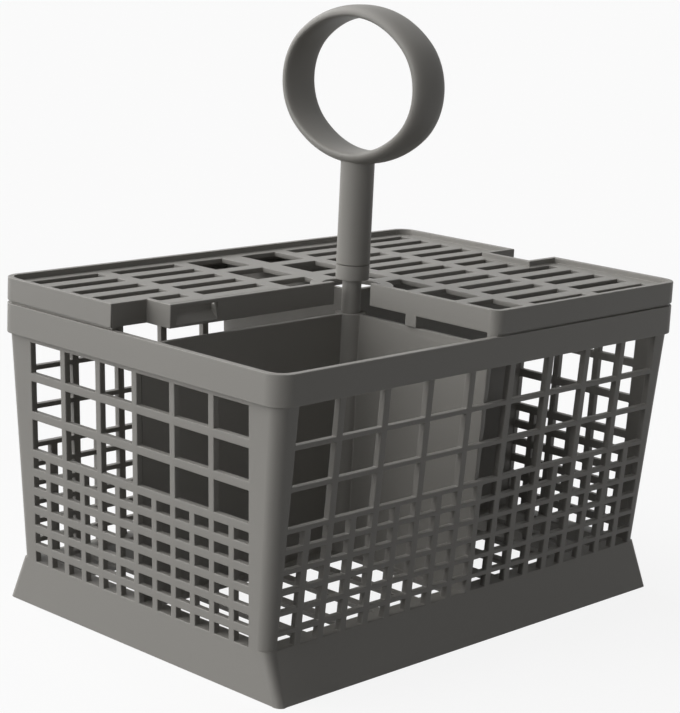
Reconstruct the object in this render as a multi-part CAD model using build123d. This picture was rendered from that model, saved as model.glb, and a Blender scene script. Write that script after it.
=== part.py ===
from build123d import *
import os

os.makedirs("parts", exist_ok=True)

# Dishwasher cutlery basket, in millimetres. X runs along the long side, Y along the short side and Z up.
# The origin is on the ground, under the centre post.

# Basket: rim and walls
rim_length = 240.0
rim_width = 162.0
rim_top = 126.0
rim_band = 12.2
rim_corner = 8.0
rim_step = 2.1
wall = 2.8
wall_corner = 5.0
end_lean = 4.7
side_lean = 6.2

# Basket: plinth and floor
plinth_height = 19.2
plinth_flare = 8.3
plinth_corner = 3.0
floor_thickness = 2.0
floor_slot_columns = 5
floor_slot_rows = 1
floor_bar = 5.0

# Basket: lattice of the walls, where each large window stands above two columns of small ones
end_columns = 6
side_columns = 9
end_corner_post = 9.4
side_corner_post = 5.7
end_mullion = 3.0
side_mullion = 3.3
lattice_bar = 3.5
side_bar = 2.0
small_window = 4.5
small_rows = 6
large_window = 12.5
end_head_bar = 2.1

# Basket: dividers, and the post with its neck, collar and spigot
divider = 2.2
divider_drop = 4.0
divider_bite = 0.6
post_diameter = 13.0
spigot_diameter = 8.0
collar_height = 6.0
spigot_length = 26.0

# Lid: L-shaped grid on the rim
lid_height = 10.4
lid_wall = 2.4
lid_free_corner = 4.5
lid_seam = 1.0
lid_seam_depth = 0.9
lid_overhang = 1.0
lid_lip = 2.0
lid_lip_drop = 3.0
lid_lip_clearance = 0.4
lid_ledge = 2.2
neck_relief = 12.5
panel_recess = 2.4
panel_thickness = 2.2
notch_width = 23.0
notch_depth = 18.0

# Lid: pattern of slots and, beside the post, of squares that take two rows each
slot_rows = 12
slot_width = 6.2
slot_side_margin = 4.2
slot_end_margin = 9.5
slot_bar = 7.0
slot_edge = 2.5
square_length = 21.0
square_bar = 11.0

# Lid: finger scoop in the rear part's front wall, and the peg that stands over the divider
scoop_length = 21.0
scoop_from_notch = 3.5
scoop_depth = 4.0
scoop_lip = 1.2
scoop_shelf = 4.6
scoop_roof = 7.8
peg_length = 6.0
peg_from_front = 45.5
peg_clearance = 0.3

# Handle: stem and oval ring
stem_diameter = 14.0
stem_length = 42.0
socket_clearance = 0.2
ring_width = 79.6
ring_height = 64.4
ring_thickness = 5.5
ring_depth = 17.5
ring_end_radius = 27.5

# Worked-out heights and sizes
beyond = 2.0 * max(rim_length, rim_width)
rim_bottom = rim_top - rim_band
wall_top = rim_bottom + wall
foot_length = rim_length - 2.0 * (rim_step + end_lean)
foot_width = rim_width - 2.0 * (rim_step + side_lean)
floor_bottom = plinth_height - floor_thickness
divider_top = rim_top - divider_drop
lid_top = rim_top + lid_height
lid_foot = rim_top + lid_seam
lid_free_edge = divider / 2 + lid_overhang
panel_top = lid_top - panel_recess
panel_bottom = panel_top - panel_thickness
collar_top = lid_top + collar_height
spigot_top = collar_top + spigot_length


def leaning_size(height, inset):
    """Length and width of the leaning walls' outside at a height, brought in by an inset."""
    rise = (height - plinth_height) / (rim_bottom - plinth_height)
    length = foot_length + 2.0 * (end_lean * rise - inset)
    width = foot_width + 2.0 * (side_lean * rise - inset)
    return length, width


def leaning_block(foot_size, head_size, z_foot, z_head, corner):
    """Block with four flat leaning sides, and rounded standing edges where a corner is given."""
    profiles = []
    for foot, head in zip(foot_size, head_size):
        corners = [(-foot / 2, z_foot), (foot / 2, z_foot), (head / 2, z_head), (-head / 2, z_head)]
        profiles.append(make_face(Polyline(*corners, close=True)))
    along = extrude(Plane.YZ * profiles[1], beyond, both=True)
    block = extrude(Plane.XZ * profiles[0], beyond, both=True) & along
    standing = [edge for edge in block.edges() if abs(edge.tangent_at(0.5).Z) > 0.5]
    return fillet(standing, corner) if corner else block


def wall_block(z_foot, z_head, inset):
    """Block within the leaning walls, from one height to another, brought in by an inset."""
    corner = 0.0 if inset else wall_corner
    return leaning_block(leaning_size(z_foot, inset), leaning_size(z_head, inset), z_foot, z_head, corner)


def rim_plan(inset):
    """Rounded rectangle of the rim's outline, brought in by an inset."""
    corner = max(rim_corner - inset, rim_corner / 4)
    return RectangleRounded(rim_length - 2.0 * inset, rim_width - 2.0 * inset, corner)


def slab(plan, z_bottom, z_top):
    """Upright prism of a plan between two heights."""
    return extrude(Pos(0, 0, z_bottom) * plan, z_top - z_bottom)


def centred_places(count, pitch):
    """Places of a row of items about zero."""
    return [(index - (count - 1) / 2) * pitch for index in range(count)]


def window_sketch(columns, span, mullion, bar, top_row_top):
    """Windows of one wall: small rows up from the plinth, then as many large rows as fit under the rim."""
    pitch = (span + mullion) / columns
    small_pitch = small_window + lattice_bar
    large_pitch = large_window + lattice_bar
    large_foot = plinth_height + small_rows * small_pitch
    large_rows = max(int((rim_bottom - large_foot + lattice_bar) // large_pitch), 0)
    growth = (lattice_bar - bar) / 2
    windows = []
    for row in range(small_rows):
        z = plinth_height + row * small_pitch + small_window / 2
        for x in centred_places(2 * columns, pitch / 2):
            windows.append(Pos(x, z) * Rectangle(pitch / 2 - mullion, small_window + 2.0 * growth))
    for row in range(large_rows):
        z_foot = large_foot + row * large_pitch - growth
        z_head = top_row_top if row == large_rows - 1 else z_foot + large_window + 2.0 * growth
        for x in centred_places(columns, pitch):
            windows.append(Pos(x, (z_foot + z_head) / 2) * Rectangle(pitch - mullion, z_head - z_foot))
    return Sketch() + windows


def lattice_walls():
    """Four leaning walls with their windows cut straight through in opposite pairs."""
    walls = wall_block(plinth_height, wall_top, 0.0) - wall_block(plinth_height, wall_top, wall)
    side_span = foot_length - 2.0 * side_corner_post
    side_windows = window_sketch(side_columns, side_span, side_mullion, side_bar, rim_bottom)
    end_span = foot_width - 2.0 * end_corner_post
    end_windows = window_sketch(end_columns, end_span, end_mullion, lattice_bar, rim_bottom - end_head_bar)
    walls -= extrude(Plane.XZ * side_windows, beyond, both=True)
    return walls - extrude(Plane.YZ * end_windows, beyond, both=True)


def rim():
    """Band that stands proud of the walls, with a step inside where the walls end."""
    band = slab(rim_plan(0.0), rim_bottom, rim_top)
    band -= slab(rim_plan(wall), wall_top, rim_top)
    return band - wall_block(rim_bottom, wall_top, wall)


def floor_slots():
    """Drain slots in the floor, in rows within each of the four compartments."""
    half_length = foot_length / 2 - wall
    half_width = foot_width / 2 - wall
    length_pitch = (half_length - floor_bar) / floor_slot_columns
    width_pitch = (half_width - floor_bar) / floor_slot_rows
    slot = Rectangle(length_pitch - floor_bar, width_pitch - floor_bar)
    slots = []
    for column in range(floor_slot_columns):
        for row in range(floor_slot_rows):
            x = floor_bar + (column + 0.5) * length_pitch - floor_bar / 2
            y = floor_bar + (row + 0.5) * width_pitch - floor_bar / 2
            slots += [Pos(side * x, end * y) * slot for side in (-1, 1) for end in (-1, 1)]
    return Sketch() + slots


def plinth():
    """Hollow plinth whose long sides flare to the ground, closed above by the slotted floor."""
    foot = (foot_length, foot_width)
    ground = (foot_length, foot_width + 2.0 * plinth_flare)
    inner_foot = (foot_length - 2.0 * wall, foot_width - 2.0 * wall)
    inner_ground = (foot_length - 2.0 * wall, foot_width + 2.0 * (plinth_flare - wall))
    outside = leaning_block(ground, foot, 0.0, plinth_height, plinth_corner)
    inside = leaning_block(inner_ground, inner_foot, 0.0, plinth_height, 0.0)
    hollow = inside & slab(Rectangle(beyond, beyond), 0.0, floor_bottom)
    return outside - hollow - slab(floor_slots(), floor_bottom, plinth_height)


def raised_dividers():
    """Upper part of the plates, up to the lid's panel, where the lid covers both their sides."""
    to_notch = rim_length / 2 - notch_depth - lid_wall - lid_lip_clearance
    to_lip = rim_width / 2 - wall - lid_lip - 2.0 * lid_lip_clearance
    plan = Pos(to_notch / 2, 0) * Rectangle(to_notch, divider)
    plan += Pos(0, to_lip / 2) * Rectangle(divider, to_lip)
    return slab(plan, divider_top, panel_bottom - peg_clearance)


def dividers():
    """Two crossing plates that end in the walls and, above those, in the rim."""
    room = wall_block(plinth_height, wall_top, wall - divider_bite)
    room += slab(rim_plan(wall - divider_bite), wall_top, divider_top)
    along = Pos(0, 0, plinth_height) * Box(beyond, divider, beyond)
    across = Pos(0, 0, plinth_height) * Box(divider, beyond, beyond)
    return (room & along) + (room & across) + raised_dividers()


def post():
    """Centre post, its neck at the lid, the collar that the handle stands on and the spigot inside its stem."""
    rod = slab(Circle(spigot_diameter / 2), plinth_height, spigot_top)
    rod += slab(Circle(post_diameter / 2), plinth_height, divider_top)
    return rod + slab(Circle(stem_diameter / 2), lid_top, collar_top)


def basket():
    """Whole basket moulding."""
    return lattice_walls() + rim() + plinth() + dividers() + post()


def lid_plan():
    """L-shaped outline: the rim's, less one quarter and the end notches."""
    quarter_middle = -lid_free_edge - beyond / 2
    quarter = Pos(quarter_middle, quarter_middle) * Rectangle(beyond, beyond)
    notch = Rectangle(2.0 * notch_depth, notch_width)
    notches = [Pos(side * rim_length / 2, 0) * notch for side in (-1, 1)]
    plan = rim_plan(0.0) - quarter - notches
    free_corner = plan.vertices().sort_by(Axis.Y)[0:2].sort_by(Axis.X)[0]
    return fillet(free_corner, lid_free_corner)


def lid_openings(plan):
    """Slots in rows right across, and beside the post the squares that take two rows each."""
    row_pitch = (rim_width - 2.0 * slot_side_margin) / slot_rows
    slot_room = rim_length / 2 - slot_end_margin - square_bar / 2 - square_length - 2.0 * slot_bar
    slot_length = slot_room / 2
    openings = []
    for y in centred_places(slot_rows, row_pitch):
        for column in range(2):
            x = square_bar / 2 + square_length + (column + 1) * slot_bar + (column + 0.5) * slot_length
            openings += [Pos(side * x, y) * Rectangle(slot_length, slot_width) for side in (-1, 1)]
    for y in centred_places(slot_rows // 2, 2.0 * row_pitch):
        x = (square_bar + square_length) / 2
        square = Rectangle(square_length, row_pitch + slot_width)
        openings += [Pos(side * x, y) * square for side in (-1, 1)]
    margin = lid_wall + slot_edge
    clear_of_edge = offset(plan, -margin, kind=Kind.INTERSECTION) - Circle(neck_relief + margin)
    return (Sketch() + openings) & clear_of_edge


def lid_seat(plan):
    """Underside that meets the rim: seat set back behind the seam, and the lip that drops inside the rim."""
    lip_outside = wall + lid_lip_clearance
    lip_inside = rim_plan(lip_outside + lid_lip)
    seat = slab((rim_plan(lid_seam_depth) - lip_inside) & plan, rim_top, lid_foot + lid_ledge)
    lip = slab((rim_plan(lip_outside) - lip_inside) & plan, rim_top - lid_lip_drop, rim_top)
    return seat + lip


def lid_scoop():
    """Finger scoop in the rear part's front wall: the block that backs it and the wedge cut out of it."""
    middle_x = -rim_length / 2 + notch_depth + scoop_from_notch + scoop_length / 2
    front_y = -lid_free_edge
    back_y = front_y + scoop_depth
    roof = lid_foot + scoop_roof
    corners = [
        (front_y, lid_foot + scoop_lip),
        (back_y, lid_foot + scoop_shelf),
        (back_y, roof),
        (front_y, roof),
    ]
    wedge = extrude(Plane.YZ * make_face(Polyline(*corners, close=True)), scoop_length / 2, both=True)
    backing_depth = scoop_depth + lid_wall
    backing_plan = Rectangle(scoop_length + 2.0 * lid_wall, backing_depth)
    backing = slab(Pos(middle_x, front_y + backing_depth / 2) * backing_plan, lid_foot, panel_top)
    return backing, Pos(middle_x, 0, 0) * wedge


def lid_peg():
    """Peg under the free edge, standing just over the divider."""
    plan = Pos(0, -rim_width / 2 + peg_from_front) * Rectangle(2.0 * lid_free_edge, peg_length)
    return slab(plan, divider_top + peg_clearance, panel_bottom)


def lid():
    """Whole lid moulding."""
    plan = lid_plan()
    inner = offset(plan, -lid_wall, kind=Kind.INTERSECTION)
    scoop_backing, scoop_wedge = lid_scoop()
    body = slab(plan, lid_foot, lid_top)
    body -= slab(inner, panel_top, lid_top)
    body -= slab(inner, lid_foot, panel_bottom)
    body += lid_seat(plan)
    body += scoop_backing
    body += lid_peg()
    body -= slab(lid_openings(plan), lid_foot, panel_top)
    body -= slab(Circle(neck_relief), lid_foot, lid_top)
    return body - scoop_wedge


def oval(inset):
    """Oval of the ring, brought in by an inset: two end arcs joined by two flatter arcs that touch them."""
    half_width = ring_width / 2
    half_height = ring_height / 2
    end_centre = half_width - ring_end_radius
    crown_square = end_centre**2 + half_height**2 - ring_end_radius**2
    crown_radius = crown_square / (2.0 * (half_height - ring_end_radius))
    reach = (ring_end_radius - inset) / (crown_radius - ring_end_radius)
    join_x = end_centre * (1.0 + reach)
    join_y = (crown_radius - half_height) * reach
    end_x = half_width - inset
    crown_y = half_height - inset
    arcs = [
        ThreePointArc((join_x, -join_y), (end_x, 0), (join_x, join_y)),
        ThreePointArc((join_x, join_y), (0, crown_y), (-join_x, join_y)),
        ThreePointArc((-join_x, join_y), (-end_x, 0), (-join_x, -join_y)),
        ThreePointArc((-join_x, -join_y), (0, -crown_y), (join_x, -join_y)),
    ]
    return make_face(Curve() + arcs)


def handle():
    """Whole handle moulding: a stem with a socket for the spigot, and the oval ring on top."""
    ring_foot = collar_top + stem_length
    ring = extrude(Plane.YZ * (oval(0.0) - oval(ring_thickness)), ring_depth / 2, both=True)
    ring = Pos(0, 0, ring_foot + ring_height / 2) * ring
    stem = slab(Circle(stem_diameter / 2), collar_top, ring_foot + ring_thickness / 2)
    socket_plan = Circle(spigot_diameter / 2 + socket_clearance)
    socket = slab(socket_plan, collar_top, spigot_top + socket_clearance)
    return stem + ring - socket


export_step(basket(), "parts/basket.step")
export_step(lid(), "parts/lid.step")
export_step(handle(), "parts/handle.step")
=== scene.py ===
import math

import bmesh
import bpy
import numpy as np
from mathutils import Matrix, Vector


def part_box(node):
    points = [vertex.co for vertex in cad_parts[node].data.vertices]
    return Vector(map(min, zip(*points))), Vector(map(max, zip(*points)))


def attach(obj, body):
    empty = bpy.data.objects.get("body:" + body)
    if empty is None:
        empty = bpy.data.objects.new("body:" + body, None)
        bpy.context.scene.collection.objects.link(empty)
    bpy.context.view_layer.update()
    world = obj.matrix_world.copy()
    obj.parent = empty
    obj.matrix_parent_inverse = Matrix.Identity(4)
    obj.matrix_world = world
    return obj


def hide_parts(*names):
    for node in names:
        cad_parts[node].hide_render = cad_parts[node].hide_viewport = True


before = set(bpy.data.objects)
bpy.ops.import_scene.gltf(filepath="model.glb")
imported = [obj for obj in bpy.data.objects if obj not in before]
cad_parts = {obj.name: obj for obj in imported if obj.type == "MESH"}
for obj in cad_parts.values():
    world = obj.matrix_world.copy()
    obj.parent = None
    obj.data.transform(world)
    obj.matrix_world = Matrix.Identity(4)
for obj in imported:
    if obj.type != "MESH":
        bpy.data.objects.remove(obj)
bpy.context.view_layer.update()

# Basket: one moulding of warm grey polypropylene, with lattice walls, a rim band, crossing
# dividers, a flared plinth and the post. It comes out of the mould with its edges slightly broken,
# so the solid's own mesh is taken over and its sharp edges are rounded.
basket_edge_radius = 0.00035
basket_clouds_per_metre = 9.0
warm_grey = (0.262, 0.252, 0.233)
sharp_turn = math.radians(40)
merge_distance = 1e-6


class Wire:
    """A shader socket that can be added, multiplied and taken from a number."""

    def __init__(self, tree, socket):
        self.tree = tree
        self.socket = socket

    def make(self, kind, settings, values, output=0):
        """Adds a node and gives one of its outputs as a wire.

        Its settings are set first, then the numbers or wires of its sockets.
        """
        node = self.tree.nodes.new(kind)
        for name, value in settings.items():
            setattr(node, name, value)
        for name, value in values.items():
            if isinstance(value, Wire):
                self.tree.links.new(value.socket, node.inputs[name])
            else:
                node.inputs[name].default_value = value
        return Wire(self.tree, node.outputs[output])

    def _math(self, operation, first, second):
        return self.make("ShaderNodeMath", {"operation": operation}, {0: first, 1: second})

    def __add__(self, other):
        return self._math("ADD", self, other)

    def __radd__(self, other):
        return self._math("ADD", other, self)

    def __rsub__(self, other):
        return self._math("SUBTRACT", other, self)

    def __mul__(self, other):
        return self._math("MULTIPLY", self, other)

    def __rmul__(self, other):
        return self._math("MULTIPLY", other, self)


def satin_polypropylene(name, shade, clouds_per_metre):
    """Moulded grey plastic: slow clouds in the tone, a fine grain in the gloss and the surface."""
    grain_per_metre = 1500.0
    grain_share = 0.2
    grain_strength = 0.2
    grain_depth = 0.00005
    tone_swing = 0.06
    least_roughness = 0.46
    cloud_roughness = 0.06
    grain_roughness = 0.1
    material = bpy.data.materials.new(name)
    material.use_nodes = True
    tree = material.node_tree
    shader = tree.nodes["Principled BSDF"]
    place = Wire(tree, tree.nodes.new("ShaderNodeTexCoord").outputs["Object"])
    clouds = place.make(
        "ShaderNodeTexNoise",
        {},
        {"Vector": place, "Scale": clouds_per_metre, "Detail": 3.0},
    )
    grain = place.make(
        "ShaderNodeTexNoise",
        {},
        {"Vector": place, "Scale": grain_per_metre, "Detail": 2.0},
    )
    dark = [*((1 - tone_swing) * tone for tone in shade), 1.0]
    light = [*((1 + tone_swing) * tone for tone in shade), 1.0]
    colour = place.make(
        "ShaderNodeMix",
        {"data_type": "RGBA"},
        {"Factor": clouds * (1 - grain_share) + grain * grain_share, 6: dark, 7: light},
        output=2,
    )
    roughness = least_roughness + cloud_roughness * clouds + grain_roughness * grain
    bump = place.make(
        "ShaderNodeBump",
        {},
        {"Height": grain, "Strength": grain_strength, "Distance": grain_depth},
    )
    tree.links.new(colour.socket, shader.inputs["Base Color"])
    tree.links.new(roughness.socket, shader.inputs["Roughness"])
    tree.links.new(bump.socket, shader.inputs["Normal"])
    return material


def broken_edge_copy(node_name, piece_name, radius):
    """Copy of a node's mesh, merged to one skin, whose sharp edges are rounded.

    An edge is rounded where its faces turn by over 40 degrees and it is longer than three radii,
    or than ten radii where it runs into one that is not. The other turned edges stay sharp,
    and large faces keep their own normals up to the rounding.
    """
    short_length = 3 * radius
    length_beside_short = 10 * radius
    form = bmesh.new()
    form.from_mesh(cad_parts[node_name].data)
    bmesh.ops.remove_doubles(form, verts=form.verts, dist=merge_distance)
    weight = form.edges.layers.float.new("bevel_weight_edge")
    turned = {edge for edge in form.edges if edge.calc_face_angle(0.0) > sharp_turn}
    short = {edge for edge in turned if edge.calc_length() <= short_length}
    short_ends = {vert for edge in short for vert in edge.verts}
    beside_short = turned & {edge for vert in short_ends for edge in vert.link_edges}
    stays_sharp = {edge for edge in beside_short if edge.calc_length() <= length_beside_short}
    for edge in form.edges:
        edge[weight] = float(edge in turned and edge not in stays_sharp)
        edge.smooth = edge not in stays_sharp
    mesh = bpy.data.meshes.new(piece_name)
    form.to_mesh(mesh)
    form.free()
    mesh.shade_smooth()
    piece = bpy.data.objects.new(piece_name, mesh)
    bpy.context.scene.collection.objects.link(piece)
    bevel = piece.modifiers.new("broken edges", "BEVEL")
    bevel.limit_method = "WEIGHT"
    bevel.width = radius
    bevel.segments = 2
    bevel.use_clamp_overlap = False
    bevel.loop_slide = False
    shading = piece.modifiers.new("flat faces", "WEIGHTED_NORMAL")
    shading.keep_sharp = True
    return piece


basket = broken_edge_copy("basket", "lattice_basket", basket_edge_radius)
basket.data.materials.clear()
basket_plastic = satin_polypropylene("basket plastic", warm_grey, basket_clouds_per_metre)
basket.data.materials.append(basket_plastic)
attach(basket, "root")
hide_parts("basket")

# Lid: a second moulding of the same plastic, an L-shaped tray with a slotted panel
# that rests on the rim and keeps the cutlery apart. Its edges are broken like the basket's.
lid_edge_radius = 0.00035
lid_clouds_per_metre = 11.0
lid = broken_edge_copy("lid", "slotted_lid", lid_edge_radius)
lid.data.materials.clear()
lid_plastic = satin_polypropylene("lid plastic", warm_grey, lid_clouds_per_metre)
lid.data.materials.append(lid_plastic)
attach(lid, "root")
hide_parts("lid")

# Handle: a third moulding, a round stem pushed over the post's spigot with an oval ring on top.
# The ring's outside is strongly crowned and its inside less so, so that it is comfortable to hold,
# and the stem runs into it through a small cove.
handle_clouds_per_metre = 13.0
ring_height = 0.0644
ring_thickness = 0.0055
ring_end_radius = 0.0275
ring_crown = 0.0036
ring_section_power = 2.4
stem_radius = 0.007
stem_foot_chamfer = 0.0005
stem_cove = 0.0012
socket_radius = 0.0042
socket_depth = 0.0262
handle_low, handle_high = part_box("handle")
ring_depth = handle_high.x - handle_low.x
ring_half_width = (handle_high.y - handle_low.y) / 2


def grid_faces(rows, columns, rows_close):
    """Quads of a grid whose columns close on themselves, and whose rows do so where asked."""
    row = np.arange(rows if rows_close else rows - 1)[:, None]
    column = np.arange(columns)[None, :]
    next_row = (row + 1) % rows
    next_column = (column + 1) % columns
    corners = [row * columns + column, next_row * columns + column]
    corners += [next_row * columns + next_column, row * columns + next_column]
    return np.stack(corners, axis=-1).reshape(-1, 4)


def oval_ring(turn_steps, section_steps):
    """Superellipse section carried round an oval of four arcs.

    The oval at normal angle a is an arc centre plus radius times (cos a, sin a): the end arcs'
    centres lie on Y and the crown arcs' on Z. A section point lies along X by half the depth times
    |cos|^(2/n), and from the crown's foot out by the crown, or in by the rest, times |sin|^(2/n).
    """
    half_height = ring_height / 2
    end_centre = ring_half_width - ring_end_radius
    crown_square = end_centre**2 + half_height**2 - ring_end_radius**2
    crown_radius = crown_square / (2 * (half_height - ring_end_radius))
    crown_centre = crown_radius - half_height
    turn = np.linspace(0, 2 * math.pi, turn_steps, endpoint=False)[:, None]
    on_end = np.abs(np.tan(turn)) < crown_centre / end_centre
    y = np.where(on_end, np.sign(np.cos(turn)) * end_centre, 0.0)
    z = np.where(on_end, 0.0, -np.sign(np.sin(turn)) * crown_centre)
    radius = np.where(on_end, ring_end_radius, crown_radius)
    round_section = np.linspace(0, 2 * math.pi, section_steps, endpoint=False)[None, :]
    cosine, sine = np.cos(round_section), np.sin(round_section)
    power = 2 / ring_section_power
    along = ring_depth / 2 * np.sign(cosine) * np.abs(cosine) ** power
    reach = np.where(sine > 0, ring_crown, ring_thickness - ring_crown)
    across = reach * np.sign(sine) * np.abs(sine) ** power - ring_crown
    y = y + (radius + across) * np.cos(turn)
    z = z + (radius + across) * np.sin(turn) + handle_high.z - half_height
    x = np.broadcast_to(along, y.shape)
    return np.stack([x, y, z], axis=-1).reshape(-1, 3)


def turned_stem(turn_steps):
    """Profile of radius and height turned about the Z axis.

    It goes from the socket's end down its bore, round the foot, up the outside
    and through a quarter circle, the cove, into the middle of the ring's thickness.
    Half of the cove's height lies under the ring's foot. Cove and head follow the ring's underside:
    they are raised by the section's drop at x, crown times (1 - (1 - |2x / depth|^n)^(1/n)),
    and by the oval's rise at y, y squared over the ring's width.
    """
    cove_steps = 7
    foot = handle_low.z
    ring_foot = handle_high.z - ring_height
    bend = np.linspace(0, math.pi / 2, cove_steps)
    cove_r = stem_radius + stem_cove * (1 - np.cos(bend))
    cove_z = ring_foot + stem_cove * (np.sin(bend) - 0.5)
    inside_r = [0.0, socket_radius, socket_radius, socket_radius + stem_foot_chamfer]
    inside_z = [foot + socket_depth, foot + socket_depth, foot + stem_foot_chamfer, foot]
    foot_r = [stem_radius - stem_foot_chamfer, stem_radius]
    foot_z = [foot, foot + stem_foot_chamfer]
    head_r = [stem_radius, 0.0]
    head_z = [ring_foot + ring_thickness / 2] * 2
    r = np.concatenate([inside_r, foot_r, cove_r, head_r])[:, None]
    z = np.concatenate([inside_z, foot_z, cove_z, head_z])[:, None]
    turn = np.linspace(0, 2 * math.pi, turn_steps, endpoint=False)[None, :]
    x, y = r * np.cos(turn), r * np.sin(turn)
    off_middle = np.minimum(np.abs(2 * x / ring_depth), 1.0) ** ring_section_power
    section_drop = ring_crown * (1 - (1 - off_middle) ** (1 / ring_section_power))
    rise = section_drop + y**2 / (2 * ring_half_width)
    follows = np.arange(len(z))[:, None] >= len(inside_r) + len(foot_r)
    points = [x, y, z + follows * rise]
    return np.stack(points, axis=-1).reshape(-1, 3), len(z)


ring_steps, section_steps, stem_steps = 192, 48, 64
ring_points = oval_ring(ring_steps, section_steps)
stem_points, stem_rows = turned_stem(stem_steps)
ring_faces = grid_faces(ring_steps, section_steps, True)
stem_faces = grid_faces(stem_rows, stem_steps, False) + len(ring_points)
handle_mesh = bpy.data.meshes.new("ring_handle")
handle_mesh.from_pydata(
    np.concatenate([ring_points, stem_points]).tolist(),
    [],
    np.concatenate([ring_faces, stem_faces]).tolist(),
)
form = bmesh.new()
form.from_mesh(handle_mesh)
bmesh.ops.remove_doubles(form, verts=form.verts, dist=merge_distance)
bmesh.ops.recalc_face_normals(form, faces=form.faces)
for edge in form.edges:
    edge.smooth = edge.calc_face_angle(0.0) < sharp_turn
form.to_mesh(handle_mesh)
form.free()
handle_mesh.shade_smooth()
handle = bpy.data.objects.new("ring_handle", handle_mesh)
bpy.context.scene.collection.objects.link(handle)
handle_plastic = satin_polypropylene("handle plastic", warm_grey, handle_clouds_per_metre)
handle.data.materials.append(handle_plastic)
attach(handle, "root")
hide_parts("handle")

# Floor and light: a pale studio floor, and broad soft lights that fall evenly on floor and basket.
# Seen directly, in a gloss or through a clear piece, floor and surroundings are white,
# while the plastic gets only their plain light.
white_share = 0.88
ambient_level = 0.035
floor_reach = 9
pale_tone = (0.9, 0.9, 0.9, 1)
dull_tone = (0.2, 0.2, 0.2, 1)
white = (1, 1, 1, 1)
floor_corners = [(-floor_reach, -floor_reach, 0), (floor_reach, -floor_reach, 0)]
floor_corners += [(floor_reach, floor_reach, 0), (-floor_reach, floor_reach, 0)]
floor_mesh = bpy.data.meshes.new("floor")
floor_mesh.from_pydata(floor_corners, [], [(0, 1, 2, 3)])
floor = bpy.data.objects.new("floor", floor_mesh)
bpy.context.scene.collection.objects.link(floor)


def white_when_seen(tree):
    """One for rays that show the surroundings and zero for others.

    Such rays come from the camera, from a gloss or through a clear piece.
    """
    paths = tree.nodes.new("ShaderNodeLightPath").outputs
    camera = Wire(tree, paths["Is Camera Ray"])
    gloss = Wire(tree, paths["Is Glossy Ray"])
    clear = Wire(tree, paths["Is Transmission Ray"])
    return 1 - (1 - camera) * (1 - gloss) * (1 - clear)


floor_material = bpy.data.materials.new("pale floor")
floor_material.use_nodes = True
tree = floor_material.node_tree
tree.nodes.clear()
seen = white_when_seen(tree)
glow = seen.make("ShaderNodeEmission", {}, {"Color": white, "Strength": 1.0})
pale = seen.make("ShaderNodeBsdfDiffuse", {}, {"Color": pale_tone})
dull = seen.make("ShaderNodeBsdfDiffuse", {}, {"Color": dull_tone})
shown = seen.make("ShaderNodeMixShader", {}, {0: white_share, 1: pale, 2: glow})
floor_shader = seen.make("ShaderNodeMixShader", {}, {0: seen, 1: dull, 2: shown})
tree.links.new(floor_shader.socket, tree.nodes.new("ShaderNodeOutputMaterial").inputs["Surface"])
floor_mesh.materials.append(floor_material)

world = bpy.data.worlds.new("studio")
world.use_nodes = True
bpy.context.scene.world = world
tree = world.node_tree
tree.nodes["Background"].inputs["Color"].default_value = white
level = ambient_level + (1 - ambient_level) * white_when_seen(tree)
tree.links.new(level.socket, tree.nodes["Background"].inputs["Strength"])


def soft_light(name, direction, spread, strength):
    """Far lamp with a broad face, an angle in degrees, that shines from a direction."""
    lamp = bpy.data.lights.new(name, "SUN")
    lamp.angle = math.radians(spread)
    lamp.energy = strength
    holder = bpy.data.objects.new(name, lamp)
    holder.rotation_euler = Vector(direction).to_track_quat("Z", "Y").to_euler()
    bpy.context.scene.collection.objects.link(holder)


soft_light("broad light", direction=(-0.63, 0.75, 0.21), spread=120.0, strength=4.5)
soft_light("side light", direction=(-0.96, 0.08, 0.26), spread=30.0, strength=0.25)
soft_light("top light", direction=(0.0, 0.5, 0.86), spread=50.0, strength=0.45)

# Camera: stands where the photograph was taken, before the near left corner and above the rim.
# Its place, its lens and its slight roll were fitted to corners measured in the photograph.
camera_azimuth = math.radians(-46.403)
camera_elevation = math.radians(12.465)
camera_roll = math.radians(2.735)
aim_height = 0.063
aim_right, aim_down, aim_depth = 0.00166, 0.0390, 0.8797
back = Vector((
    math.sin(camera_azimuth) * math.cos(camera_elevation),
    -math.cos(camera_azimuth) * math.cos(camera_elevation),
    math.sin(camera_elevation),
))
right = (-back).cross(Vector((0, 0, 1))).normalized()
level_axes = Matrix((right, back.cross(right), back)).transposed()
camera_axes = level_axes @ Matrix.Rotation(camera_roll, 3, "Z")
camera_data = bpy.data.cameras.new("camera")
camera_data.sensor_fit = "HORIZONTAL"
camera_data.sensor_width = 36.0
camera_data.lens = 110.02
camera = bpy.data.objects.new("camera", camera_data)
aim = Vector((0, 0, aim_height))
camera.location = aim - camera_axes @ Vector((aim_right, -aim_down, -aim_depth))
camera.rotation_mode = "QUATERNION"
camera.rotation_quaternion = camera_axes.to_quaternion()
bpy.context.scene.collection.objects.link(camera)
bpy.context.scene.camera = camera
bpy.context.scene.view_settings.view_transform = "Standard"
